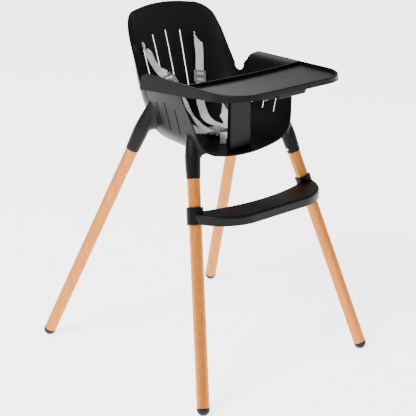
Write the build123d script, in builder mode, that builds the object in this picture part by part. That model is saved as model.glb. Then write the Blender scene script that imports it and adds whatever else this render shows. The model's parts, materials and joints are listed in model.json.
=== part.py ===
from build123d import *
from math import asin, atan2, cos, degrees, radians, sin, sqrt, tan
import os

os.makedirs("parts", exist_ok=True)

# ---------------------------------------------------------------- driving dimensions (mm)
# +Z is up, the child faces -Y, and the origin is on the floor at the centre of the footprint.
tube_r = 16.0
tube_wall = 1.5
foot_front = (280.0, -311.0, 19.2)
foot_rear = (295.4, 310.7, 19.2)
socket_front = (171.8, -152.3, 540.2)
socket_rear = (179.8, 74.9, 566.1)
cap_r = 16.5
cap_sphere_z = 16.1
leg_in_socket = 52.0
cap_plug = 18.0
button_r = 4.0
button_proud = 3.2
button_travel = 3.0
leaf_t = 0.8
leaf_w = 8.0
fit_gap = 0.05
socket_r = 17.4
socket_fillet = 15.0

shell_t = 4.0
pan_z = 573.0
pan_dish_r = 474.0
pan_corner_r = 73.0
pan_corner_x = 89.7
pan_seam = degrees(asin(pan_corner_x / (pan_dish_r - pan_corner_r)))
side_slope = 0.268
side_ref = (160.5, 639.0)
side_max = 188.0
rear_taper = 15.0
rear_max = 165.0
back_slope = 0.3086
back_ref = (119.0, 700.0)
back_top = 903.0
corner_drop = 92.0
corner_r = 83.0
section_front = -205.0

rail_top = 757.0
rail_bottom = 746.0
rail_in = 168.5
rail_out = 189.2
rail_front = -118.0
rail_rear = 18.0
rim_front_bottom = (-165.0, 573.0)
rim_front_mid = (-148.5, 650.0)
notch = (45.0, 722.0)
slot_w = 4.6

footrest_top = 467.0
footrest_h = 24.0
footrest_front = -283.0
footrest_rear = -211.0
ring_r = 21.0
ring_high = 69.0
ring_low = 112.0
post_y = -134.0
post_half = 36.0
post_depth = 11.0
post_foot_z = 579.5
post_top = 742.0
post_tongue_y = post_y + 5
tongue_w = 30.0
tongue_t = 8.0
screw_r = 1.5

tray_top = 775.0
tray_floor = 763.6
tray_plate = 2.6
tray_front = -323.0
tray_half = 193.5
tray_skirt_low = 730.0
tray_rim = 5.6
tray_corner_r = 82.0
tray_lean = 8.0
tray_wall = 2.6
wing_end = 17.0
wing_corner_r = 16.0
wing_panel = ((188.4, 774.0), (178.0, 771.2), (170.0, 766.5),
              (163.5, 757.5), (161.0, 746.0), (155.2, 702.0))
rear_rim_y = -146.0
rear_rim_bow = 14.0
rim_half = 2.0
rim_low = 752.0
insert_t = 2.0
paddle_half = 45.0
stem_half = 26.0
stem_z = (750.0, 753.0)
release_travel = 8.0
latch_throw = 2.4
latch_y = -185.0
pin_x = 16.0
pin_r = 2.5
bar_z = (753.4, 756.4)
arm_x = (189.5, 191.0)
cover_half = 70.0
cover_y = (-292.0, -168.0)
cover_z = (745.5, 747.5)
cover_screws = [(x, y) for x in (-60, 60) for y in (-285, -175)]
screw_head_r = 3.2
screw_above_mouth = 12.0
screw_seat = 18.15
skirt_ref_z = 736.0
skirt_slope = -0.079
tray_travel = 40.0
tooth_rest_y = -72.0
tooth_y = 8.0
tooth_z = 3.0
groove_depth = 2.2
groove_z = 752.5
groove_mid_y = tooth_rest_y - tray_travel / 2

strap_w = 27.0
strap_t = 1.4
shoulder_slot_x = 88.2
shoulder_bar_y = 152.0
waist_slot = (119.7, 65.6, 619.0)
waist_bar_gap = 9.5
waist_slot_half = 15.0
crotch_slot_y = -70.0
buckle_x = 29.0
buckle_y = -14.0
buckle_z = 586.0
buckle_w = 34.0
buckle_l = 42.0
buckle_h = 14.0
button_half_x = 8.0
button_half_y = 10.0
tongue_reach = 33.5
prong_half = 8.0
adjuster_w = 36.0
adjuster_l = 31.0
adjuster_t = 6.4
SIDES = (("right", -1), ("left", 1))


def publish(part, name):
    """Name a finished piece and write its STEP file."""
    part.label = name
    export_step(part, f"parts/{name}.step")


def leg_axis(foot, socket, side):
    """Foot point, unit direction up the leg, and visible length, on the chosen side."""
    low = Vector(foot[0] * side, foot[1], foot[2])
    high = Vector(socket[0] * side, socket[1], socket[2])
    run = high - low
    return low, run.normalized(), run.length


def leg_plane(foot, socket, side, along=0.0):
    """Plane square to a leg, with local x facing the back of the chair, at a distance up the leg."""
    low, up, length = leg_axis(foot, socket, side)
    rearward = (Vector(0, 1, 0) - up * Vector(0, 1, 0).dot(up)).normalized()
    return Plane(origin=low + up * along, x_dir=rearward, z_dir=up)


def leg_screw_plane(foot, socket, side):
    """Plane on a leg axis just above the socket mouth, facing the middle of the chair."""
    low, up, length = leg_axis(foot, socket, side)
    inward = Vector(-side, 0, 0)
    inward = (inward - up * inward.dot(up)).normalized()
    return Plane(origin=low + up * (length + screw_above_mouth), x_dir=up, z_dir=inward)


def leg_screw_bore(foot, socket, side):
    """Cut the screw hole of one leg from the part in hand."""
    place = leg_screw_plane(foot, socket, side)
    with BuildSketch(place.offset(10)) as shank_hole:
        Circle(screw_r + fit_gap)
    extrude(shank_hole.sketch, amount=12, mode=Mode.SUBTRACT)


LEG_PAIRS = [(foot, socket, side) for foot, socket in ((foot_front, socket_front), (foot_rear, socket_rear))
             for name, side in SIDES]


# ---------------------------------------------------------------- seat shell
def pan_point(angle, wall):
    """Half width and height on the round bottom of the tub, by the slope angle of its wall."""
    a = radians(angle)
    if angle <= pan_seam:
        return (pan_dish_r - wall) * sin(a), pan_z + pan_dish_r - (pan_dish_r - wall) * cos(a)
    corner_z = pan_z + pan_dish_r - (pan_dish_r - pan_corner_r) * cos(radians(pan_seam))
    return pan_corner_x + (pan_corner_r - wall) * sin(a), corner_z - (pan_corner_r - wall) * cos(a)


def wall_half(z, wall):
    """Half width of the straight leaning side wall at a height."""
    lean = cos(atan2(side_slope, 1))
    return min(side_ref[0] + side_slope * (z - side_ref[1]), side_max) - wall / lean


def back_line(z, wall):
    """Y of the reclined back on the centre line at a height."""
    return back_ref[0] + back_slope * (z - back_ref[1]) - wall / cos(atan2(back_slope, 1))


def tub_level(angle, wall):
    """Height, half width and centre back of the section where the bottom has this slope angle."""
    x, z = pan_point(angle, wall)
    inset = wall_half(z, wall) - x
    return z, x, back_line(z, wall) - inset


def tub_lofts(wall, mode):
    """Dish of the pan, then the round bottom and the walls above it, lofted through sections."""
    wall_angle = degrees(atan2(1, side_slope))
    dish = [tub_level(angle, wall) for angle in (1, pan_seam / 2, pan_seam)]
    walls = [tub_level(pan_seam + (wall_angle - pan_seam) * step / 5, wall) for step in range(6)]
    for z in (665, 692, 722, 760, 805, 855, 915):
        walls.append((z, wall_half(z, wall), back_line(z, wall)))
    for levels in (dish, walls):
        loft(sections=[tub_section(*level, wall) for level in levels], mode=mode)


def tub_section(z, half, back, wall):
    """Closed outline of the tub at one height: flat front, bowed sides, round corners, bowed back."""
    rear = min(half * (1 - rear_taper / side_max), rear_max - wall)
    s = rear / rear_max
    r = corner_r * s - wall * min(1.0, s)
    centre_y = back - (corner_drop * s - wall * min(1.0, s))
    centre_x = rear - r
    seam = radians(77.4)
    with BuildSketch(Plane.XY.offset(z)) as outline:
        with BuildLine():
            for m in (1, -1):
                side_mid = (m * (half - 0.6), (section_front + centre_y) * 0.5)
                ThreePointArc((m * (half - 3), section_front), side_mid, (m * rear, centre_y))
                corner_mid = (m * (centre_x + r * cos(seam / 2)), centre_y + r * sin(seam / 2))
                corner_end = (m * (centre_x + r * cos(seam)), centre_y + r * sin(seam))
                ThreePointArc((m * rear, centre_y), corner_mid, corner_end)
            x_end, y_end = centre_x + r * cos(seam), centre_y + r * sin(seam)
            ThreePointArc((x_end, y_end), (0, back), (-x_end, y_end))
            Line((half - 3, section_front), (3 - half, section_front))
        make_face()
    return outline.sketch


def waist_slot_plane(m):
    """Plane through a waist strap slot, square to the rear corner, with local x straight up."""
    x, y, z = waist_slot
    return Plane(origin=(m * x, y, z), x_dir=(0, 0, 1), z_dir=(m, 1, 0))


def slot_prism(plane, ends, width, depth, both=False):
    """Round-ended slot between two points of a plane, cut from the part in hand."""
    with BuildSketch(plane) as slot:
        (x0, y0), (x1, y1) = ends
        length = sqrt((x1 - x0) ** 2 + (y1 - y0) ** 2)
        middle = ((x0 + x1) / 2, (y0 + y1) / 2)
        with Locations(Location((middle[0], middle[1], 0), (0, 0, degrees(atan2(y1 - y0, x1 - x0))))):
            SlotOverall(length, width)
    extrude(slot.sketch, amount=depth, both=both, mode=Mode.SUBTRACT)


def socket_boss(foot, socket, side, length):
    """Ogive boss that carries a leg: straight at its mouth, swelling, then sinking into the wall."""
    base = leg_plane(foot, socket, side, leg_axis(foot, socket, side)[2])
    profile_plane = Plane(origin=base.origin, x_dir=base.x_dir, z_dir=base.x_dir.cross(base.z_dir))
    with BuildSketch(profile_plane) as profile:
        with BuildLine():
            Polyline((0, length), (0, 0), (socket_r, 0))
            Spline((socket_r, 0), (socket_r + 1.6, length * 0.4), (socket_r - 4, length * 0.8), (0, length),
                   tangents=((0.03, 1), (-1, 0.15)))
        make_face()
    return revolve(profile.sketch, Axis(base.origin, base.z_dir), mode=Mode.PRIVATE)


def socket_seams(edges):
    """Edges where the four leg sockets run into the tub."""
    seams = []
    for name, side in SIDES:
        for foot, socket in ((foot_front, socket_front), (foot_rear, socket_rear)):
            low, up, length = leg_axis(foot, socket, side)
            mouth = low + up * length
            for edge in edges:
                from_mouth = [edge.position_at(t / 4) - mouth for t in range(5)]
                along = [v.dot(up) for v in from_mouth]
                across = [(v - up * a).length for v, a in zip(from_mouth, along)]
                if min(along) > 5 and max(across) < socket_r + 4:
                    seams.append(edge)
    return seams


with BuildPart() as seat_shell:
    tub_lofts(0, Mode.ADD)
    # side view of the rim: front opening, armrest, notch, backrest edge
    with BuildSketch(Plane.YZ):
        with BuildLine():
            ThreePointArc(rim_front_bottom, rim_front_mid, (-124, 742))
            Line((-124, 742), (rail_front, rail_top))
            Line((rail_front, rail_top), (rail_rear, rail_top))
            ThreePointArc((rail_rear, rail_top), (rail_rear + 9, rail_top - 6), (33, 740))
            ThreePointArc((33, 740), (notch[0] + 3, notch[1]), (63, 738))
            Line((63, 738), (117, 841))
            Line((117, 841), (162, 925))
            Polyline((162, 925), (260, 925), (260, 560), (-165, 560), rim_front_bottom)
        make_face()
    extrude(amount=260, both=True, mode=Mode.INTERSECT)
    # front view of the backrest: crowned top with round corners
    with BuildSketch(Plane.XZ):
        with BuildLine():
            ThreePointArc((-96, 895), (0, back_top), (96, 895))
            ThreePointArc((96, 895), (130, 881), (147.5, 850))
            Line((147.5, 850), (165, 780))
            Polyline((165, 780), (230, 760), (230, 560), (-230, 560), (-230, 760), (-165, 780))
            Line((-165, 780), (-147.5, 850))
            ThreePointArc((-147.5, 850), (-130, 881), (-96, 895))
        make_face()
    extrude(amount=260, both=True, mode=Mode.INTERSECT)
    # armrest rails that the tray runs on
    for name, side in SIDES:
        with BuildSketch(Plane.XY.offset(rail_bottom)):
            with Locations((side * (rail_in + rail_out) / 2, (rail_front + rail_rear) / 2)):
                RectangleRounded(rail_out - rail_in, rail_rear - rail_front, 6)
        extrude(amount=rail_top - rail_bottom)
    # leg sockets
    for name, side in SIDES:
        for foot, socket, length in ((foot_front, socket_front, 128), (foot_rear, socket_rear, 158)):
            add(socket_boss(foot, socket, side, length))
    fillet(socket_seams(seat_shell.edges()), radius=socket_fillet)
    tub_lofts(shell_t, Mode.SUBTRACT)
    # five ventilation slots in the back, converging downwards
    for top_x, low_x, top_z, low_z in ((0, 0, 834, 652), (45.8, 38.5, 829, 656), (89.2, 80, 819, 668)):
        for m in (1, -1) if top_x else (1,):
            slot_prism(Plane.XZ, ((m * low_x, low_z), (m * top_x, top_z)), slot_w, -230)
    # three slots in each side wall
    for y, low_z, top_z in ((-89, 635, 701), (-50, 637, 713), (-12, 646, 705)):
        slot_prism(Plane.YZ, ((y, low_z), (y, top_z)), slot_w, 220, both=True)
    # leg bores and their screw holes
    for foot, socket, side in LEG_PAIRS:
        mouth = leg_axis(foot, socket, side)[2]
        with BuildSketch(leg_plane(foot, socket, side, mouth)) as bore:
            Circle(tube_r + fit_gap)
        extrude(bore.sketch, amount=leg_in_socket + 2, mode=Mode.SUBTRACT)
        leg_screw_bore(foot, socket, side)
    # waist strap slots in the rear corners
    for name, m in SIDES:
        slot_prism(waist_slot_plane(m), ((-waist_slot_half, 0), (waist_slot_half, 0)), slot_w, 12, both=True)
    # slots in the pan for the crotch post tongue and the crotch strap
    with BuildSketch(Plane.XY.offset(pan_z - 10)) as pan_slots:
        with Locations((0, post_tongue_y)):
            Rectangle(tongue_w + 0.4, tongue_t + 0.4)
        with Locations((0, crotch_slot_y)):
            SlotOverall(strap_w + 5, slot_w)
    extrude(pan_slots.sketch, amount=30, mode=Mode.SUBTRACT)
    # tray latch grooves in the rails
    for name, side in SIDES:
        with Locations((side * (rail_out - groove_depth / 2), groove_mid_y, groove_z)):
            Box(groove_depth, tray_travel + tooth_y + 1, tooth_z + 1, mode=Mode.SUBTRACT)
publish(seat_shell.part, "seat_shell")


# ---------------------------------------------------------------- legs, feet and snap clips
def make_leg(name, foot, socket, side, button_drop, button_side):
    """One leg tube with its foot cap and its snap clip; the button faces local x times button_side."""
    low, up, length = leg_axis(foot, socket, side)
    button_at = length - button_drop
    with BuildPart() as leg:
        with BuildSketch(leg_plane(foot, socket, side)) as ring:
            Circle(tube_r)
            Circle(tube_r - tube_wall, mode=Mode.SUBTRACT)
        extrude(ring.sketch, amount=length + leg_in_socket)
        centre = leg_plane(foot, socket, side, button_at)
        cross = Plane(origin=centre.origin, x_dir=centre.z_dir, z_dir=centre.x_dir * button_side)
        with BuildSketch(cross) as hole:
            Circle(button_r + 0.3)
        extrude(hole.sketch, amount=tube_r + 4, mode=Mode.SUBTRACT)
        leg_screw_bore(foot, socket, side)
    publish(leg.part, f"leg_{name}")

    with BuildPart() as cap:
        with BuildSketch(leg_plane(foot, socket, side)) as dome_ring:
            Circle(cap_r)
        extrude(dome_ring.sketch, amount=-(foot[2] - cap_sphere_z) / up.Z)
        sphere_at = low - up * ((foot[2] - cap_sphere_z) / up.Z)
        with Locations(sphere_at):
            Sphere(cap_r)
        with BuildSketch(leg_plane(foot, socket, side)) as upper:
            Rectangle(60, 60)
        extrude(upper.sketch, amount=60, mode=Mode.SUBTRACT)
        with BuildSketch(leg_plane(foot, socket, side)) as plug:
            Circle(tube_r - tube_wall - fit_gap)
            Circle(tube_r - tube_wall - 3, mode=Mode.SUBTRACT)
        extrude(plug.sketch, amount=cap_plug)
        split(bisect_by=Plane.XY, keep=Keep.TOP)
    publish(cap.part, f"foot_cap_{name}")

    leaf_x = tube_r - tube_wall - 1.3
    with BuildPart() as clip:
        with BuildSketch(cross.offset(leaf_x)) as stem:
            Circle(button_r)
        extrude(stem.sketch, amount=tube_r + button_proud - leaf_x)
        crown = clip.edges().filter_by(GeomType.CIRCLE).sort_by_distance(cross.origin)[-1]
        fillet(crown, radius=1.0)
        core = Plane(origin=centre.origin, x_dir=centre.x_dir * button_side, z_dir=centre.y_dir)
        with BuildSketch(core) as spring:
            with BuildLine():
                bend = Polyline((leaf_x, button_r + 1), (leaf_x, -8), (3, -34), (-3, -36),
                                (button_travel - leaf_x, -26), (button_travel - leaf_x, 5))
                offset(bend, amount=leaf_t / 2)
            make_face()
        extrude(spring.sketch, amount=leaf_w / 2, both=True)
    publish(clip.part, f"snap_clip_{name}")


LEGS = [(f"{end}_{name}", foot, socket, side, drop, face)
        for end, foot, socket, drop, face in (("front", foot_front, socket_front, 90, 1),
                                              ("rear", foot_rear, socket_rear, 68, -1))
        for name, side in SIDES]
for leg_args in LEGS:
    make_leg(*leg_args)


# ---------------------------------------------------------------- footrest
with BuildPart() as footrest:
    with BuildSketch(Plane.XY.offset(footrest_top - footrest_h)) as board:
        with BuildLine():
            Line((-80, footrest_front), (80, footrest_front))
            for m in (1, -1):
                ThreePointArc((m * 80, footrest_front), (m * 166, -252), (m * 205, -186))
                Line((m * 205, -186), (m * 172, -182))
            ThreePointArc((-172, -182), (0, footrest_rear), (172, -182))
        make_face()
    extrude(board.sketch, amount=footrest_h)
    fillet(footrest.faces().sort_by(Axis.Z)[-1].edges(), radius=6)
    with BuildSketch(Plane.XY.offset(footrest_top - footrest_h)) as hollow:
        offset(board.sketch, amount=-3)
    extrude(hollow.sketch, amount=footrest_h - 4, mode=Mode.SUBTRACT)
    with BuildSketch(Plane.XY.offset(footrest_top - footrest_h + 4)) as ribs:
        with GridLocations(60, 0, 5, 1):
            with Locations((0, -245)):
                Rectangle(2.4, 90)
        with Locations((0, -246)):
            Rectangle(330, 2.4)
        offset(board.sketch, amount=-2, mode=Mode.INTERSECT)
    extrude(ribs.sketch, amount=footrest_h - 6)
    for name, side in SIDES:
        reach = leg_axis(foot_front, socket_front, side)[2]
        with BuildSketch(leg_plane(foot_front, socket_front, side, reach - ring_low)) as ring_disc:
            Circle(ring_r)
        extrude(ring_disc.sketch, amount=ring_low - ring_high)
    for name, side in SIDES:
        reach = leg_axis(foot_front, socket_front, side)[2]
        with BuildSketch(leg_plane(foot_front, socket_front, side, reach - ring_low - 40)) as ring_bore:
            Circle(tube_r + fit_gap)
        extrude(ring_bore.sketch, amount=ring_low - ring_high + 80, mode=Mode.SUBTRACT)
        press = leg_plane(foot_front, socket_front, side, reach - 90)
        press = Plane(origin=press.origin, x_dir=press.z_dir, z_dir=press.x_dir)
        with BuildSketch(press) as press_hole:
            Circle(button_r + 0.6)
        extrude(press_hole.sketch, amount=ring_r + 6, mode=Mode.SUBTRACT)
publish(footrest.part, "footrest")


# ---------------------------------------------------------------- crotch post
with BuildPart() as crotch_post:
    with BuildSketch(Plane.XZ.offset(-post_y)) as plate:
        with BuildLine():
            Polyline((-post_half, post_foot_z), (post_half, post_foot_z), (post_half - 3, post_top - 18))
            for m in (1, -1):
                shoulder = (m * (post_half - 3), post_top - 18)
                crown_end = (m * (post_half - 20), post_top)
                ThreePointArc(shoulder, (m * (post_half - 8), post_top - 5), crown_end)
            Line((post_half - 20, post_top), (20 - post_half, post_top))
            Line((3 - post_half, post_top - 18), (-post_half, post_foot_z))
        make_face()
    extrude(plate.sketch, amount=-post_depth)
    fillet(crotch_post.faces().sort_by(Axis.Y)[0].edges(), radius=3)
    with BuildSketch(Plane.XZ.offset(-post_y - 3)) as back_hollow:
        offset(plate.sketch, amount=-3)
    extrude(back_hollow.sketch, amount=-post_depth, mode=Mode.SUBTRACT)
    with BuildSketch(Plane.XY.offset(pan_z + 0.5)) as tongue:
        with Locations((0, post_tongue_y)):
            Rectangle(tongue_w, tongue_t)
    extrude(tongue.sketch, amount=18)
    with BuildSketch(Plane.XY.offset(pan_z)) as pilot:
        with Locations((0, post_tongue_y)):
            Circle(screw_r + fit_gap)
    extrude(pilot.sketch, amount=15, mode=Mode.SUBTRACT)
publish(crotch_post.part, "crotch_post")


with BuildPart() as post_screw:
    with BuildSketch(Plane.XY.offset(pan_z - 2.6)) as flange:
        with Locations((0, post_tongue_y)):
            Circle(7)
    extrude(flange.sketch, amount=2.5)
    with BuildSketch(Plane.XY.offset(pan_z - 0.5)) as shank:
        with Locations((0, post_tongue_y)):
            Circle(screw_r)
    extrude(shank.sketch, amount=14)
    with BuildSketch(Plane.XY.offset(pan_z - 2.6)) as cross_slot:
        with Locations((0, post_tongue_y)):
            Rectangle(6, 1)
            Rectangle(1, 6)
    extrude(cross_slot.sketch, amount=1.4, mode=Mode.SUBTRACT)
publish(post_screw.part, "crotch_post_screw")


# ---------------------------------------------------------------- tray
def block(x, y, z, mode=Mode.ADD):
    """Box given by its x, y and z ranges."""
    with Locations(((x[0] + x[1]) / 2, (y[0] + y[1]) / 2, (z[0] + z[1]) / 2)):
        Box(abs(x[1] - x[0]), abs(y[1] - y[0]), abs(z[1] - z[0]), mode=mode)


def tray_outline(z, inset, rear):
    """Tray outline at a height, set in from the outside, running back to a rear line."""
    spread = (tray_top - z) * tan(radians(tray_lean))
    half = tray_half + spread - inset
    front = tray_front - spread + inset
    r = tray_corner_r + spread - inset
    bend = r * (1 - cos(radians(45)))
    with BuildSketch(Plane.XY.offset(z)) as outline:
        with BuildLine():
            Line((r - half, front), (half - r, front))
            for m in (1, -1):
                ThreePointArc((m * (half - r), front), (m * (half - bend), front + bend), (m * half, front + r))
                Line((m * half, front + r), (m * half, rear))
            Line((half, rear), (-half, rear))
        make_face()
    return outline.sketch


def behind_rim(z, setback):
    """Region behind the concave rear rim of the tray, set back from the middle of the rim wall."""
    side_y = rear_rim_y + setback
    with BuildSketch(Plane.XY.offset(z)) as region:
        with BuildLine():
            ThreePointArc((-200, side_y), (0, side_y - rear_rim_bow), (200, side_y))
            Polyline((200, side_y), (200, 80), (-200, 80), (-200, side_y))
        make_face()
    return region.sketch


def wing_lining(m):
    """Inner wall of one wing: it rolls over from the rim and hangs down inside the armrest."""
    with BuildSketch(Plane.XZ) as profile:
        with BuildLine():
            Spline(*[(m * x, z) for x, z in wing_panel])
        trace(line_width=tray_wall)
    with BuildSketch(Plane.YZ) as side_view:
        with BuildLine():
            Polyline((wing_end, tray_top - wing_corner_r), (wing_end, 704), (-20, 714), (-100, 743),
                     (rear_rim_y - 1, 754), (rear_rim_y - 1, tray_top), (wing_end - wing_corner_r, tray_top))
            RadiusArc((wing_end - wing_corner_r, tray_top), (wing_end, tray_top - wing_corner_r), wing_corner_r)
        make_face()
    return extrude(profile.sketch, amount=200, both=True, mode=Mode.PRIVATE) & extrude(
        side_view.sketch, amount=200, both=True, mode=Mode.PRIVATE)


tray_plate_low = tray_floor - tray_plate
with BuildPart() as tray:
    loft(sections=[tray_outline(z, 0, wing_end + 20) for z in (tray_top, tray_skirt_low)])
    fillet(tray.faces().sort_by(Axis.Z)[-1].edges(), radius=tray_rim / 2 - 0.6)
    loft(sections=[tray_outline(z, tray_wall, wing_end + 40) for z in (tray_plate_low, tray_skirt_low - 1)],
         mode=Mode.SUBTRACT)
    # sloping lower edge of the skirt and the round rear ends of the wings
    wing_low = skirt_ref_z + skirt_slope * wing_end
    wing_arc = (wing_end - wing_corner_r, tray_top)
    with BuildSketch(Plane.YZ) as side_view:
        with BuildLine():
            Polyline((wing_end, tray_top - wing_corner_r), (wing_end, wing_low),
                     (tray_front - 20, skirt_ref_z + skirt_slope * (tray_front - 20)),
                     (tray_front - 20, tray_top + 5), (wing_arc[0], tray_top + 5), wing_arc)
            RadiusArc(wing_arc, (wing_end, tray_top - wing_corner_r), wing_corner_r)
        make_face()
    extrude(side_view.sketch, amount=260, both=True, mode=Mode.INTERSECT)
    # recess in front of the rear rim, and the open bay between the wings behind it
    inner = tray_outline(tray_top, tray_rim, wing_end + 40)
    extrude(inner - behind_rim(tray_top, -rim_half), amount=tray_floor - tray_top, mode=Mode.SUBTRACT)
    extrude(inner & behind_rim(tray_top, rim_half), amount=-50, mode=Mode.SUBTRACT)
    # lower half of the rear rim
    with BuildSketch(Plane.XY.offset(rim_low)) as between_walls:
        with Locations((0, rear_rim_y)):
            Rectangle(2 * (tray_half - 0.2), 60)
    rim_strip = behind_rim(rim_low, -rim_half) - behind_rim(rim_low, rim_half)
    extrude(rim_strip & between_walls.sketch, amount=tray_floor - rim_low)
    for name, m in SIDES:
        block((m * 186, m * 193.3), (-170, -140), (rim_low - 1, rail_top + 0.2), mode=Mode.SUBTRACT)
        # upper ledge that rides on the armrest rail, and the lip that hooks below it
        block((m * 184, m * 194), (-110, wing_end - 3), (rail_top + 0.4, rail_top + 3.4))
        block((m * (rail_out - 0.8), m * 196.4), (-60, wing_end - 3), (rail_bottom - 3.5, rail_bottom - 0.5))
        add(wing_lining(m))
        # guides for the latch bar, and a stiffening rib
        for y in (latch_y - 6.5, latch_y + 6.5):
            block((m * 80, m * 180), (y - 1, y + 1), (bar_z[0], tray_plate_low + 0.5))
        block((m * 109, m * 111), (-285, latch_y - 9), (tray_plate_low - 3.5, tray_plate_low + 0.5))
    with Locations(*[(x, y, (cover_z[1] + tray_plate_low + 0.5) / 2) for x, y in cover_screws]):
        Cylinder(4, tray_plate_low + 0.5 - cover_z[1])
    with Locations(*[(x, y, cover_z[1]) for x, y in cover_screws]):
        Cylinder(screw_r + fit_gap, 2 * (tray_plate_low - 4 - cover_z[1]), mode=Mode.SUBTRACT)
publish(tray.part, "tray")

with BuildPart() as tray_insert:
    lining = tray_outline(tray_top, tray_rim + 1, wing_end) - behind_rim(tray_top, -rim_half - 1)
    extrude(lining.moved(Location((0, 0, tray_floor + 0.1 - tray_top))), amount=insert_t)
    fillet(tray_insert.faces().sort_by(Axis.Z)[-1].edges(), radius=0.8)
publish(tray_insert.part, "tray_insert")


# ---------------------------------------------------------------- tray release
with BuildPart() as paddle:
    block((-paddle_half, paddle_half), (-312, -298), (748, 760.5))
    fillet(paddle.edges().filter_by(Axis.Z), radius=3)
    fillet(paddle.faces().sort_by(Axis.Z)[0].edges(), radius=1.5)
    block((-stem_half, stem_half), (-300, latch_y + 15), stem_z)
    slant = Vector(latch_throw, release_travel).normalized() * 2.9
    for m in (1, -1):
        first = (m * (pin_x - slant.X), latch_y - slant.Y)
        last = (m * (pin_x + latch_throw + slant.X), latch_y + release_travel + slant.Y)
        slot_prism(Plane.XY.offset(stem_z[0] - 1), (first, last), 2 * pin_r + 0.4, 6)
publish(paddle.part, "tray_release_paddle")

for name, m in SIDES:
    with BuildPart() as latch:
        block((m * 8, m * arm_x[1]), (latch_y - 5, latch_y + 5), bar_z)
        with Locations((m * pin_x, latch_y, (stem_z[0] - 0.5 + bar_z[0] + 0.5) / 2)):
            Cylinder(pin_r, bar_z[0] - stem_z[0] + 1)
        block((m * arm_x[0], m * arm_x[1]), (latch_y - 5, tooth_rest_y + 6), (groove_z - 2, groove_z + 2))
        with Locations((m * (rail_out - 2 + arm_x[0] + 0.1) / 2, tooth_rest_y, groove_z)):
            Box(arm_x[0] + 2.1 - rail_out, tooth_y, tooth_z)
    publish(latch.part, f"tray_latch_{name}")

with BuildPart() as cover:
    block((-cover_half, cover_half), cover_y, (cover_z[0], cover_z[1] + 2))
    fillet(cover.edges().filter_by(Axis.Z), radius=5)
    block((2 - cover_half, cover_half - 2), (cover_y[0] + 2, cover_y[1] - 2), (cover_z[1], cover_z[1] + 3),
          mode=Mode.SUBTRACT)
    with Locations(*[(x, y, cover_z[0]) for x, y in cover_screws]):
        Cylinder(screw_r + fit_gap, 10, mode=Mode.SUBTRACT)
publish(cover.part, "tray_underside_cover")

with BuildPart() as cover_screw_set:
    with Locations(*[(x, y, cover_z[0] - 1) for x, y in cover_screws]):
        Cylinder(screw_head_r, 2)
        Box(4, 0.8, 1, align=(Align.CENTER, Align.CENTER, Align.MAX), mode=Mode.SUBTRACT)
    with Locations(*[(x, y, cover_z[0] + 5) for x, y in cover_screws]):
        Cylinder(screw_r, 10)
publish(cover_screw_set.part, "tray_cover_screws")


# ---------------------------------------------------------------- leg screws
with BuildPart() as leg_screw_set:
    for place in [leg_screw_plane(*pair) for pair in LEG_PAIRS]:
        with BuildSketch(place.offset(screw_seat)) as screw_head:
            Circle(screw_head_r)
        extrude(screw_head.sketch, amount=1.6)
        with BuildSketch(place.offset(screw_seat - 6)) as shank:
            Circle(screw_r)
        extrude(shank.sketch, amount=6.5)
        with BuildSketch(place.offset(screw_seat + 1)) as driver:
            Rectangle(4, 0.8)
            Rectangle(0.8, 4)
        extrude(driver.sketch, amount=2, mode=Mode.SUBTRACT)
publish(leg_screw_set.part, "leg_screws")


# ---------------------------------------------------------------- harness webbing
prong_z = (buckle_z + 5, buckle_z + 7.4)
strap_end_z = (prong_z[0] + prong_z[1]) / 2
def ribbon(sheet_plane, sheet_path, face_plane, face_path):
    """Webbing: a thin line in one view and a wide band in another, met together."""
    with BuildSketch(sheet_plane) as sheet:
        with BuildLine():
            Polyline(*sheet_path)
        trace(line_width=strap_t)
    with BuildSketch(face_plane) as face:
        with BuildLine():
            Polyline(*face_path)
        trace(line_width=strap_w)
    return extrude(sheet.sketch, amount=800, both=True, mode=Mode.PRIVATE) & extrude(
        face.sketch, amount=800, both=True, mode=Mode.PRIVATE)


left_shoulder_side = ((135, 816), (128, 790), (113, 735), (87, 650), (52, 622), (4, 603))
left_shoulder_front = ((90, 816), (92, 790), (80, 735), (60, 650), (61, 622), (62, 603))
right_shoulder_side = ((138, 816), (119, 733), (60, 665), (34, 630), (2, 603))
right_shoulder_front = ((-89, 816), (-32, 733), (-19, 665), (-14, 630), (-8, 603))
for name, m, side_path, front_path in (("left", 1, left_shoulder_side, left_shoulder_front),
                                       ("right", -1, right_shoulder_side, right_shoulder_front)):
    with BuildPart() as shoulder_strap:
        add(ribbon(Plane.YZ, side_path, Plane.XZ, front_path))
        block((m * shoulder_slot_x - strap_t / 2, m * shoulder_slot_x + strap_t / 2), (134, shoulder_bar_y),
              (816 - strap_w, 816))
    publish(shoulder_strap.part, f"shoulder_strap_{name}")

for name, m in SIDES:
    x_slot, y_slot, z_slot = waist_slot
    x_in, y_in = m * (x_slot - 10), y_slot - 12
    x_end, y_end = buckle_x + m * (tongue_reach + 1), buckle_y + 4
    with BuildPart() as waist_strap:
        add(ribbon(Plane.XZ,
                   ((m * (x_slot - 8), z_slot - 3), (x_end + m * 8, strap_end_z), (x_end, strap_end_z)),
                   Plane.XY, ((x_in, y_in), (x_end + m * 18, y_end), (x_end, y_end))))
        with BuildSketch(waist_slot_plane(m).offset(-11)) as tab:
            Rectangle(strap_w, strap_t)
        extrude(tab.sketch, amount=11 + waist_bar_gap)
        with BuildSketch(waist_slot_plane(m).offset(-16)) as neck:
            with Locations((3.75, 0)):
                Rectangle(strap_w - 7.5, strap_t)
        extrude(neck.sketch, amount=6)
    publish(waist_strap.part, f"waist_strap_{name}")

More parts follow.
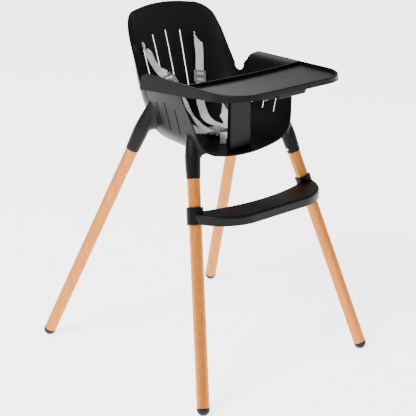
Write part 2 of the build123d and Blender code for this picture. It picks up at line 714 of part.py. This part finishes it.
with BuildPart() as crotch_strap:
    strap_stop = buckle_y - buckle_l / 2 - 0.4
    add(ribbon(Plane.YZ, ((crotch_slot_y, 556), (crotch_slot_y, 585), (crotch_slot_y + 10, strap_end_z),
                          (strap_stop, strap_end_z)),
               Plane.XY, ((0, crotch_slot_y - 1), (0, crotch_slot_y + 12), (buckle_x, strap_stop - 8),
                          (buckle_x, strap_stop))))
publish(crotch_strap.part, "crotch_strap")

with BuildPart() as retainers:
    for name, m in SIDES:
        block((m * (shoulder_slot_x - 6), m * (shoulder_slot_x + 6)), (shoulder_bar_y, shoulder_bar_y + 3),
              (816 - strap_w - 3, 819))
        with BuildSketch(waist_slot_plane(m).offset(waist_bar_gap)) as waist_bar:
            Rectangle(strap_w + 6, 12)
        extrude(waist_bar.sketch, amount=3)
    fillet(retainers.edges().filter_by(lambda e: abs(e.length - 3) < 0.01), radius=2)
publish(retainers.part, "strap_retainers")

with BuildPart() as crotch_retainer:
    block((-20, 20), (crotch_slot_y - 7, crotch_slot_y + 7), (pan_z - 4, pan_z - 0.6))
    fillet(crotch_retainer.edges().filter_by(Axis.Z), radius=3)
    with BuildSketch(Plane.XY.offset(pan_z - 6)) as retainer_slot:
        with Locations((0, crotch_slot_y)):
            Rectangle(strap_w + 0.8, strap_t + 0.6)
    extrude(retainer_slot.sketch, amount=10, mode=Mode.SUBTRACT)
publish(crotch_retainer.part, "crotch_strap_retainer")


# ---------------------------------------------------------------- strap adjusters
def strap_frame(side_path, front_path, first, along):
    """Plane on a straight run of a strap: local y runs down the strap, z stands off its face."""
    start, end = [Vector(front_path[k][0], side_path[k][0], side_path[k][1]) for k in (first, first + 1)]
    down = (end - start).normalized()
    sheet = Vector(0, side_path[first + 1][0] - side_path[first][0],
                   side_path[first + 1][1] - side_path[first][1]).normalized()
    face = Vector(1, 0, 0).cross(sheet).normalized()
    return Plane(origin=start + (end - start) * along, x_dir=down.cross(face), z_dir=face)


for name, side_path, front_path, first, along in (
        ("left", left_shoulder_side, left_shoulder_front, 2, 0.32),
        ("right", right_shoulder_side, right_shoulder_front, 1, 0.27)):
    place = strap_frame(side_path, front_path, first, along)
    with BuildPart() as adjuster:
        with BuildSketch(place.offset(-adjuster_t / 2)) as pad:
            RectangleRounded(adjuster_w, adjuster_l, 3)
        extrude(pad.sketch, amount=adjuster_t)
        fillet(adjuster.faces().sort_by(Axis(place.origin, place.z_dir))[-1].edges(), radius=1)
        with BuildSketch(place.offset(-1.2)) as tunnel:
            Rectangle(strap_w + 2.4, adjuster_l + 2)
        extrude(tunnel.sketch, amount=2.4, mode=Mode.SUBTRACT)
        with BuildSketch(place) as windows:
            with Locations((0, -8), (0, 8)):
                RectangleRounded(strap_w, 8, 1)
        extrude(windows.sketch, amount=adjuster_t, both=True, mode=Mode.SUBTRACT)
    publish(adjuster.part, f"strap_adjuster_{name}")


# ---------------------------------------------------------------- buckle
buckle_top = buckle_z + buckle_h
def buckle_block(x, half_y, z, mode=Mode.ADD):
    """Box given by its x range from the buckle's middle, its half length and its z range."""
    block((buckle_x + x[0], buckle_x + x[1]), (buckle_y - half_y, buckle_y + half_y), z, mode=mode)


half_w, half_l = buckle_w / 2, buckle_l / 2
with BuildPart() as buckle:
    buckle_block((-half_w, half_w), half_l, (buckle_z, buckle_top))
    fillet(buckle.edges().filter_by(Axis.Z), radius=6)
    fillet(buckle.faces().sort_by(Axis.Z)[-1].edges(), radius=2)
    buckle_block((2.5 - half_w, half_w - 2.5), half_l - 4, (buckle_z + 2, buckle_top - 2.4), mode=Mode.SUBTRACT)
    buckle_block((-30, 30), prong_half + 0.4, (prong_z[0] - 0.3, prong_z[1] + 0.3), mode=Mode.SUBTRACT)
    window_x = button_half_x + 0.2
    window_z = (buckle_top - 4, buckle_top + 2)
    buckle_block((-window_x, window_x), button_half_y + 0.2, window_z, mode=Mode.SUBTRACT)
publish(buckle.part, "buckle_body")

with BuildPart() as buckle_button:
    buckle_block((-button_half_x, button_half_x), button_half_y, (buckle_top - 3.8, buckle_top + 1.6))
    fillet(buckle_button.edges().filter_by(Axis.Z), radius=2)
    fillet(buckle_button.faces().sort_by(Axis.Z)[-1].edges(), radius=0.8)
    flange_x = button_half_x + 1.2
    buckle_block((-flange_x, flange_x), button_half_y + 1.2, (buckle_top - 3.8, buckle_top - 2.6))
publish(buckle_button.part, "buckle_button")

for name, m in SIDES:
    with BuildPart() as tongue_clip:
        buckle_block((m * (half_w + 0.5), m * tongue_reach), 15.5, prong_z)
        fillet(tongue_clip.edges().filter_by(Axis.Z), radius=3)
        through = (prong_z[0] - 1, prong_z[1] + 1)
        buckle_block((m * (tongue_reach - 6.5), m * (tongue_reach - 3.5)), 13.8, through, mode=Mode.SUBTRACT)
        buckle_block((m * 3, m * (half_w + 1)), prong_half, prong_z)
        buckle_block((m * 6, m * 10), 3, through, mode=Mode.SUBTRACT)
    publish(tongue_clip.part, f"buckle_tongue_{name}")
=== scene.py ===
import bpy
import bmesh
import json
import math
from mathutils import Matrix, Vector


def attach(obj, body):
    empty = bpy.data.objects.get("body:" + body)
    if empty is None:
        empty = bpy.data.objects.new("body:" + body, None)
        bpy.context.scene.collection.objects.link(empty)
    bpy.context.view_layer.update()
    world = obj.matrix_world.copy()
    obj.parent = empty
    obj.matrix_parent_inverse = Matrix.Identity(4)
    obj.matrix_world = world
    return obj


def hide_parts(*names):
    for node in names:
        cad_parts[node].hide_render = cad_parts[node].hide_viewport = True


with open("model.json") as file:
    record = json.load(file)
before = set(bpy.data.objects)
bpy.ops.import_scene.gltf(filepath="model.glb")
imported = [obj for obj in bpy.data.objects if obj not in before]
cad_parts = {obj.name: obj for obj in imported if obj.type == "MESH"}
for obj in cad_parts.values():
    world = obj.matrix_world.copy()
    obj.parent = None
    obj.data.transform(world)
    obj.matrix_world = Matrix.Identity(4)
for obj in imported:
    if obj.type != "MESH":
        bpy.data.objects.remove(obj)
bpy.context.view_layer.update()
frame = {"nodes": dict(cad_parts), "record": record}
nodes = frame["nodes"]

MM = 0.001
STRAP_WIDTH = 0.027
STRAP_THICK = 0.0014
HALF_STRAP = 13.5          # half of the strap's width, in the millimetres that the routes use
WEFT_PITCH, WARP_PITCH = 0.0022, 0.0018


# ---------------------------------------------------------------- materials
def new_material(name):
    mat = bpy.data.materials.new(name)
    mat.use_nodes = True
    tree = mat.node_tree
    return mat, tree, tree.nodes["Principled BSDF"]


def node(tree, kind, **sockets):
    made = tree.nodes.new(kind)
    for key, value in sockets.items():
        made.inputs[key.replace("_", " ")].default_value = value
    return made


def noise(tree, vector, scale, detail=4.0, rough=0.55):
    made = node(tree, "ShaderNodeTexNoise", Scale=scale, Detail=detail, Roughness=rough)
    tree.links.new(vector, made.inputs["Vector"])
    return made


def remap(tree, value, low, high, from_low=0.0, from_high=1.0):
    made = tree.nodes.new("ShaderNodeMapRange")
    made.inputs["From Min"].default_value = from_low
    made.inputs["From Max"].default_value = from_high
    made.inputs["To Min"].default_value = low
    made.inputs["To Max"].default_value = high
    tree.links.new(value, made.inputs["Value"])
    return made.outputs["Result"]


def mix(tree, factor, a, b):
    made = tree.nodes.new("ShaderNodeMix")
    made.data_type = "RGBA"
    made.inputs[6].default_value = (*a, 1)
    made.inputs[7].default_value = (*b, 1)
    tree.links.new(factor, made.inputs[0])
    return made.outputs[2]


def soft_edges(tree, radius, bump_from=None, strength=0.1, distance=0.001):
    """Rounded look for moulded edges, with the fine surface texture on top of it."""
    bevel = tree.nodes.new("ShaderNodeBevel")
    bevel.samples = 6
    bevel.inputs["Radius"].default_value = radius
    if bump_from is None:
        return bevel.outputs["Normal"]
    bump = node(tree, "ShaderNodeBump", Strength=strength, Distance=distance)
    tree.links.new(bump_from, bump.inputs["Height"])
    tree.links.new(bevel.outputs["Normal"], bump.inputs["Normal"])
    return bump.outputs["Normal"]


def moulded(name, dark, light, rough_low, rough_high, grain=1400.0, grain_strength=0.12,
            edge=0.0012, spec=0.5):
    """Injection moulded plastic: a fine spark-eroded grain, soft scuffing and rounded edges."""
    mat, tree, bsdf = new_material(name)
    at = tree.nodes.new("ShaderNodeTexCoord").outputs["Object"]
    broad = noise(tree, at, 9.0, 5.0)
    fine = noise(tree, at, grain, 2.0)
    tree.links.new(mix(tree, broad.outputs["Fac"], dark, light), bsdf.inputs["Base Color"])
    rough = remap(tree, broad.outputs["Fac"], rough_low, rough_high, 0.3, 0.7)
    tree.links.new(rough, bsdf.inputs["Roughness"])
    bsdf.inputs["Specular IOR Level"].default_value = spec
    textured = soft_edges(tree, edge, fine.outputs["Fac"], grain_strength, 0.0004)
    tree.links.new(textured, bsdf.inputs["Normal"])
    return mat


black = moulded("black_plastic", (0.0027, 0.0027, 0.0031), (0.0043, 0.0043, 0.0048), 0.34, 0.44,
                spec=0.10)
lining = moulded("tray_lining", (0.008, 0.008, 0.0085), (0.012, 0.012, 0.0125), 0.36, 0.44,
                 1800.0, 0.10, spec=0.34)
cap_black = moulded("foot_cap", (0.004, 0.004, 0.0045), (0.007, 0.007, 0.0075), 0.38, 0.5,
                    edge=0.0006, spec=0.15)
grey = moulded("buckle_grey", (0.13, 0.133, 0.138), (0.17, 0.174, 0.18), 0.38, 0.5, edge=0.0006)
button_grey = moulded("button_grey", (0.26, 0.265, 0.275), (0.31, 0.315, 0.325), 0.36, 0.46,
                      edge=0.0005)


def wood_look():
    """Wood-look metallic coating on the leg tubes: long soft grain under a thin clear coat."""
    mat, tree, bsdf = new_material("leg_finish")
    at = tree.nodes.new("ShaderNodeTexCoord").outputs["Generated"]
    stretch = node(tree, "ShaderNodeMapping", Scale=(9.0, 9.0, 0.8))
    tree.links.new(at, stretch.inputs["Vector"])
    grain = noise(tree, stretch.outputs["Vector"], 4.0, 5.0, 0.5)
    pores = noise(tree, stretch.outputs["Vector"], 30.0, 3.0)
    tone = remap(tree, grain.outputs["Fac"], 0.0, 1.0, 0.33, 0.68)
    tree.links.new(mix(tree, tone, (0.42, 0.132, 0.018), (0.54, 0.190, 0.032)), bsdf.inputs["Base Color"])
    tree.links.new(remap(tree, pores.outputs["Fac"], 0.28, 0.36), bsdf.inputs["Roughness"])
    bsdf.inputs["Metallic"].default_value = 0.4
    bsdf.inputs["Specular IOR Level"].default_value = 0.1
    bsdf.inputs["Coat Weight"].default_value = 0.04
    bsdf.inputs["Coat Roughness"].default_value = 0.16
    tree.links.new(soft_edges(tree, 0.0004, pores.outputs["Fac"], 0.05, 0.0002), bsdf.inputs["Normal"])
    return mat


def steel(name, tone, rough):
    """Zinc plated steel with fine turning marks."""
    mat, tree, bsdf = new_material(name)
    at = tree.nodes.new("ShaderNodeTexCoord").outputs["Object"]
    marks = noise(tree, at, 900.0, 3.0)
    bsdf.inputs["Base Color"].default_value = (*tone, 1)
    bsdf.inputs["Metallic"].default_value = 1.0
    tree.links.new(remap(tree, marks.outputs["Fac"], rough - 0.06, rough + 0.08), bsdf.inputs["Roughness"])
    tree.links.new(soft_edges(tree, 0.0004, marks.outputs["Fac"], 0.06, 0.0002), bsdf.inputs["Normal"])
    return mat


def woven():
    """Light grey flat webbing: ribs across the width, a crossing warp and darker bound edges."""
    mat, tree, bsdf = new_material("webbing")
    uv = tree.nodes.new("ShaderNodeUVMap")
    uv.uv_map = "weave"
    parts = tree.nodes.new("ShaderNodeSeparateXYZ")
    tree.links.new(uv.outputs["UV"], parts.inputs["Vector"])

    def maths(kind, first, second):
        made = tree.nodes.new("ShaderNodeMath")
        made.operation = kind
        for index, value in enumerate((first, second)):
            if isinstance(value, (int, float)):
                made.inputs[index].default_value = value
            else:
                tree.links.new(value, made.inputs[index])
        return made.outputs[0]

    weft = maths("SINE", maths("MULTIPLY", parts.outputs["Y"], 2 * math.pi / WEFT_PITCH), 0.0)
    warp = maths("SINE", maths("MULTIPLY", parts.outputs["X"], 2 * math.pi / WARP_PITCH), 0.0)
    cross = maths("MULTIPLY", weft, warp)
    height = maths("ADD", maths("MULTIPLY", cross, 0.5), maths("MULTIPLY", warp, 0.25))
    edge = maths("ABSOLUTE", parts.outputs["X"], 0.0)
    rim = remap(tree, edge, 0.0, 1.0, 0.0112, 0.0128)
    fuzz = noise(tree, uv.outputs["UV"], 700.0, 4.0)
    tone = remap(tree, height, 0.0, 1.0, -0.75, 0.75)
    woven_colour = mix(tree, tone, (0.40, 0.405, 0.41), (0.66, 0.665, 0.67))
    bound = tree.nodes.new("ShaderNodeMix")
    bound.data_type = "RGBA"
    bound.inputs[7].default_value = (0.42, 0.425, 0.43, 1)
    tree.links.new(woven_colour, bound.inputs[6])
    tree.links.new(rim, bound.inputs[0])
    tree.links.new(bound.outputs[2], bsdf.inputs["Base Color"])
    bsdf.inputs["Roughness"].default_value = 0.82
    bsdf.inputs["Sheen Weight"].default_value = 0.35
    total = maths("ADD", height, maths("MULTIPLY", fuzz.outputs["Fac"], 0.8))
    bump = node(tree, "ShaderNodeBump", Strength=0.55, Distance=0.0004)
    tree.links.new(total, bump.inputs["Height"])
    tree.links.new(bump.outputs["Normal"], bsdf.inputs["Normal"])
    return mat


def thread():
    """Stitching thread, a little darker than the webbing."""
    mat, tree, bsdf = new_material("stitch_thread")
    at = tree.nodes.new("ShaderNodeTexCoord").outputs["Object"]
    strands = noise(tree, at, 2500.0, 2.0)
    tree.links.new(mix(tree, strands.outputs["Fac"], (0.20, 0.205, 0.21), (0.30, 0.305, 0.31)),
                   bsdf.inputs["Base Color"])
    bsdf.inputs["Roughness"].default_value = 0.8
    bump = node(tree, "ShaderNodeBump", Strength=0.4, Distance=0.0003)
    tree.links.new(strands.outputs["Fac"], bump.inputs["Height"])
    tree.links.new(bump.outputs["Normal"], bsdf.inputs["Normal"])
    return mat


wood = wood_look()
screw_steel = steel("screw_steel", (0.62, 0.62, 0.64), 0.3)
clip_steel = steel("clip_steel", (0.42, 0.42, 0.44), 0.34)
webbing = woven()
stitching = thread()

FINISH = {"black_plastic": black, "tray_lining": lining, "leg_finish": wood, "foot_cap": cap_black,
          "screw_steel": screw_steel, "clip_steel": clip_steel, "webbing": webbing, "buckle_grey": grey,
          "button_grey": button_grey}
slot_of = {part["node"]: part["material_slot"] for part in frame["record"]["subparts"]}
for name, piece in nodes.items():
    for index in range(len(piece.material_slots)):
        piece.material_slots[index].material = FINISH[slot_of[name]]
    if not piece.material_slots:
        piece.data.materials.append(FINISH[slot_of[name]])


# ---------------------------------------------------------------- webbing
def smooth_track(points, normals, step=0.0018):
    """Catmull-Rom track through the points, with its facing direction or its cross line turned along it."""
    points = [Vector(p) * MM for p in points]
    normals = [Vector(n) for n in normals]
    track = []
    last = len(points) - 1
    for i in range(last):
        p0, p1 = points[max(i - 1, 0)], points[i]
        p2, p3 = points[i + 1], points[min(i + 2, last)]
        count = max(3, int((p2 - p1).length / step))
        for k in range(count + (i == last - 1)):
            t = k / count
            at = 0.5 * (2 * p1 + (p2 - p0) * t + (2 * p0 - 5 * p1 + 4 * p2 - p3) * t * t
                        + (3 * p1 - p0 - 3 * p2 + p3) * t ** 3)
            track.append((at, normals[i].lerp(normals[i + 1], t * t * (3 - 2 * t))))
    return track


def cross_frame(track, i, half_width, folded):
    """Half cross line and outward normal of a strap at one step of its track."""
    run = (track[min(i + 1, len(track) - 1)][0] - track[max(i - 1, 0)][0]).normalized()
    if folded:
        half = track[i][1] * MM
        return half, half.cross(run).normalized()
    half = run.cross(track[i][1].normalized()).normalized() * half_width
    return half, half.cross(run).normalized()


def strap(name, points, normals, replaced, folded=False):
    """Flat webbing along a track: thin, slightly crowned, with rounded bound edges.

    A folded strap is given half cross lines in millimetres in place of its facing directions.
    The track is returned, for the stitching.
    """
    track = smooth_track(points, normals)
    across = (-1.0, -0.93, -0.8, -0.5, 0.0, 0.5, 0.8, 0.93, 1.0)
    mesh = bpy.data.meshes.new(name)
    build = bmesh.new()
    weave = build.loops.layers.uv.new("weave")
    rings, along = [], 0.0
    for i, (at, _) in enumerate(track):
        side, up = cross_frame(track, i, STRAP_WIDTH / 2, folded)
        if i:
            along += (at - track[i - 1][0]).length
        ripple = 0.00012 * math.sin(along * 190.0)
        ring = []
        for face in (1, -1):
            for a in across[::face]:
                half = STRAP_THICK / 2 * (0.55 if abs(a) == 1.0 else 1.0 if abs(a) < 0.9 else 0.92)
                place = at + side * a + up * (face * half + ripple * (1 - a * a))
                ring.append((build.verts.new(place), a * STRAP_WIDTH / 2))
        rings.append((ring, along))
    for (ring_a, v_a), (ring_b, v_b) in zip(rings, rings[1:]):
        n = len(ring_a)
        for k in range(n):
            nxt = (k + 1) % n
            corners = [(ring_a[k], v_a), (ring_a[nxt], v_a), (ring_b[nxt], v_b), (ring_b[k], v_b)]
            made = build.faces.new([c[0][0] for c in corners])
            made.smooth = True
            for loop, (corner, v) in zip(made.loops, corners):
                loop[weave].uv = (corner[1], v)
    for ring, v in (rings[0], rings[-1]):
        made = build.faces.new([c[0] for c in ring])
        for loop, corner in zip(made.loops, ring):
            loop[weave].uv = (corner[1], v)
    bmesh.ops.recalc_face_normals(build, faces=build.faces)
    build.to_mesh(mesh)
    build.free()
    piece = bpy.data.objects.new(name, mesh)
    bpy.context.scene.collection.objects.link(piece)
    mesh.materials.append(webbing)
    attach(piece, "chair")
    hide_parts(*replaced)
    return track


def stitch_box(name, track, start, length, width=0.020, folded=False):
    """A sewn box with its cross, laid on the face of a strap between two distances along it."""
    along, frames = 0.0, []
    for i, (at, _) in enumerate(track):
        if i:
            along += (at - track[i - 1][0]).length
        side, up = cross_frame(track, i, width / 2, folded)
        frames.append((along, at, side.normalized(), up))

    def on_face(u, v):
        d = start + v * length
        for (a0, p0, s0, n0), (a1, p1, s1, n1) in zip(frames, frames[1:]):
            if a0 <= d <= a1:
                t = (d - a0) / max(a1 - a0, 1e-9)
                return p0.lerp(p1, t) + s0 * (u * width / 2) + n0 * 0.00082, n0
        return frames[-1][1] + frames[-1][2] * (u * width / 2), frames[-1][3]

    build = bmesh.new()
    lines = [((-1, 0), (1, 0)), ((1, 0), (1, 1)), ((1, 1), (-1, 1)), ((-1, 1), (-1, 0)),
             ((-1, 0), (1, 1)), ((1, 0), (-1, 1))]
    for (u0, v0), (u1, v1) in lines:
        span = math.hypot((u1 - u0) * width / 2, (v1 - v0) * length)
        count = max(3, int(span / 0.0026))
        for k in range(count):
            a, b = (k + 0.12) / count, (k + 0.88) / count
            p, n = on_face(u0 + (u1 - u0) * a, v0 + (v1 - v0) * a)
            q, _ = on_face(u0 + (u1 - u0) * b, v0 + (v1 - v0) * b)
            run = (q - p).normalized()
            side = run.cross(n).normalized() * 0.00032
            rise = n * 0.00028
            ends = []
            for at in (p, q):
                ends.append([build.verts.new(at + way) for way in (side, rise, -side, -rise)])
            for j in range(4):
                nxt = (j + 1) % 4
                build.faces.new((ends[0][j], ends[0][nxt], ends[1][nxt], ends[1][j]))
            build.faces.new(ends[0])
            build.faces.new(ends[1])
    bmesh.ops.recalc_face_normals(build, faces=build.faces)
    mesh = bpy.data.meshes.new(name)
    build.to_mesh(mesh)
    build.free()
    for face in mesh.polygons:
        face.use_smooth = True
    piece = bpy.data.objects.new(name, mesh)
    bpy.context.scene.collection.objects.link(piece)
    mesh.materials.append(stitching)
    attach(piece, "chair")


# The left strap leaves its slot on edge, folds over a diagonal and then runs down level.
on_edge = (0, 0, HALF_STRAP)
level = (-HALF_STRAP, 0, 0)
left_points = [(88.2, 151.6, 802.5), (88.2, 143, 802.5), (88.4, 136, 802.4), (88.6, 131, 802.2),
               (88.4, 127.2, 789), (86.4, 120.8, 764), (80, 113, 735), (70, 100, 692.5), (60, 87, 650),
               (61.0, 80.5, 627), (62.4, 70, 607), (62, 52, 598), (60, 32, 596.5), (58.6, 12, 597),
               (57.6, -10, 596.4), (56.6, -21, 595.8)]
left_halves = [on_edge, on_edge, (-6, 0, 13.3), (-12.9, 0, 13.2), *[level] * 6, (-13.4, 1.5, 0),
               (-13.3, 2, 0), (-13.4, 1.5, 0), *[level] * 3]
left_track = strap("webbing_shoulder_left", left_points, left_halves, ["shoulder_strap_left"], folded=True)

# The right strap hangs slack and twists before its adjuster and again above the pan.
right_face = tuple(Vector((1, 0, 0)).cross(Vector((0, -59, -68))).normalized())
right_points = [(-88.2, 151.6, 802.5), (-88.2, 143, 802.5), (-87.6, 137.5, 801.5), (-84.0, 132.5, 795),
                (-76.0, 128.0, 781), (-63, 122.4, 753), (-47, 118.4, 734), (-36, 116.0, 729.5),
                (-30.6, 109.0, 721.5), (-24.6, 86.5, 695.5), (-19, 61, 666), (-15, 36, 634),
                (-9.5, 14, 612), (-3.4, -2, 600), (0.6, -12, 596.6), (1.4, -21, 595.8)]
right_normals = [(1, 0, 0), (1, 0, 0), (0.9, -0.3, 0.1), (0.5, -0.85, 0.15), (0.34, -0.92, 0.1),
                 (0.45, -0.88, 0.1), (0.4, -0.88, 0.2), (0.15, -0.85, 0.5), right_face, right_face,
                 (0.35, -0.67, 0.62), (0.58, -0.60, 0.54), (0.3, -0.5, 0.8), (0, -0.3, 0.95),
                 (0, -0.05, 1), (0, 0, 1)]
right_track = strap("webbing_shoulder_right", right_points, right_normals, ["shoulder_strap_right"])

# The waist straps leave the rear corners square to them and lie on the pan up to the buckle tongues.
buckle_x, tongue_reach = 29, 30
corner = 0.7071
flat = (0, 0, 1)
for name, m, lying, resting in (
        ("left", 1, [(109, 47, 610), (103, 30, 602.5), (93, 13, 597.5)], (-0.2, 0, 0.98)),
        ("right", -1, [(-104, 48.5, 613), (-74, 30, 604), (-44, 8, 607)], (-0.25, -0.62, 0.74))):
    x_end = buckle_x + m * tongue_reach
    points = [(m * 126.4, 72.2, 619), (m * 119.7, 65.6, 619), (m * 113.0, 58.9, 618.5), *lying,
              (x_end + m * 8, -7.5, 593.8), (x_end + m * 3.2, -10.4, 592.4)]
    normals = [(-m * corner, corner, 0), (-m * corner, corner, 0), (-m * 0.68, 0.60, 0.4),
               (-m * 0.45, 0.20, 0.87), (-m * 0.34, 0.0, 0.94), resting, flat, flat]
    strap(f"webbing_waist_{name}", points, normals, [f"waist_strap_{name}"])

# The crotch strap rises from its slot in the pan and turns half round on its way to the buckle.
crotch_points = [(0, -70, 556.4), (0, -70, 572), (0.6, -69.2, 580), (5, -63, 587.5), (14, -53, 590.8),
                 (23, -44, 591.2), (28, -38, 592.0), (buckle_x, -35.6, 592.2)]
crotch_normals = [(0, -1, 0), (0, -1, 0), (0.3, -0.85, 0.45), (0.6, -0.6, 0.55), (0.55, -0.5, 0.65),
                  (0.2, -0.2, 0.95), flat, flat]
strap("webbing_crotch", crotch_points, crotch_normals, ["crotch_strap"])

stitch_box("stitches_left", left_track, 0.262, 0.026, folded=True)
stitch_box("stitches_right", right_track, 0.268, 0.026)


# ---------------------------------------------------------------- stage
def floor_piece(name, size, z, mat):
    mesh = bpy.data.meshes.new(name)
    h = size / 2
    mesh.from_pydata([(-h, -h, z), (h, -h, z), (h, h, z), (-h, h, z)], [], [(0, 1, 2, 3)])
    piece = bpy.data.objects.new(name, mesh)
    bpy.context.scene.collection.objects.link(piece)
    mesh.materials.append(mat)
    return piece


floor_mat, _, floor_bsdf = new_material("studio_floor")
floor_bsdf.inputs["Base Color"].default_value = (0.95, 0.95, 0.95, 1)
floor_bsdf.inputs["Roughness"].default_value = 0.9
floor_bsdf.inputs["Specular IOR Level"].default_value = 0.1
floor_bsdf.inputs["Emission Color"].default_value = (1, 1, 1, 1)
floor_bsdf.inputs["Emission Strength"].default_value = 3.4
floor = floor_piece("studio_floor", 60.0, -0.0004, floor_mat)


def area_light(name, at, aim, size, power):
    data = bpy.data.lights.new(name, "AREA")
    data.shape = "RECTANGLE"
    data.size, data.size_y = size
    data.energy = power
    light = bpy.data.objects.new(name, data)
    bpy.context.scene.collection.objects.link(light)
    light.location = at
    light.rotation_euler = (Vector(aim) - Vector(at)).to_track_quat("-Z", "Y").to_euler()
    return light


key = area_light("key_light", (-2.2, -0.4, 2.9), (0, 0, 0.6), (1.1, 1.1), 170)
fill = area_light("fill_light", (2.6, -2.4, 2.0), (0, 0, 0.5), (1.6, 2.0), 6)
back = area_light("back_light", (1.0, 2.6, 2.6), (0, 0, 0.6), (2.4, 1.2), 40)

world = bpy.data.worlds.new("studio")
bpy.context.scene.world = world
world.use_nodes = True
world.node_tree.nodes["Background"].inputs["Color"].default_value = (1, 1, 1, 1)
world.node_tree.nodes["Background"].inputs["Strength"].default_value = 0.4

camera_data = bpy.data.cameras.new("camera")
camera_data.lens = 109.75
camera_data.sensor_width = 36.0
camera_data.shift_x = 0.0067
camera_data.clip_end = 100.0
camera = bpy.data.objects.new("camera", camera_data)
bpy.context.scene.collection.objects.link(camera)
camera.location = (-2.0770, -2.3610, 1.5140)
camera.rotation_euler = (Vector((0, 0, 0.383)) - camera.location).to_track_quat("-Z", "Y").to_euler()
bpy.context.scene.camera = camera
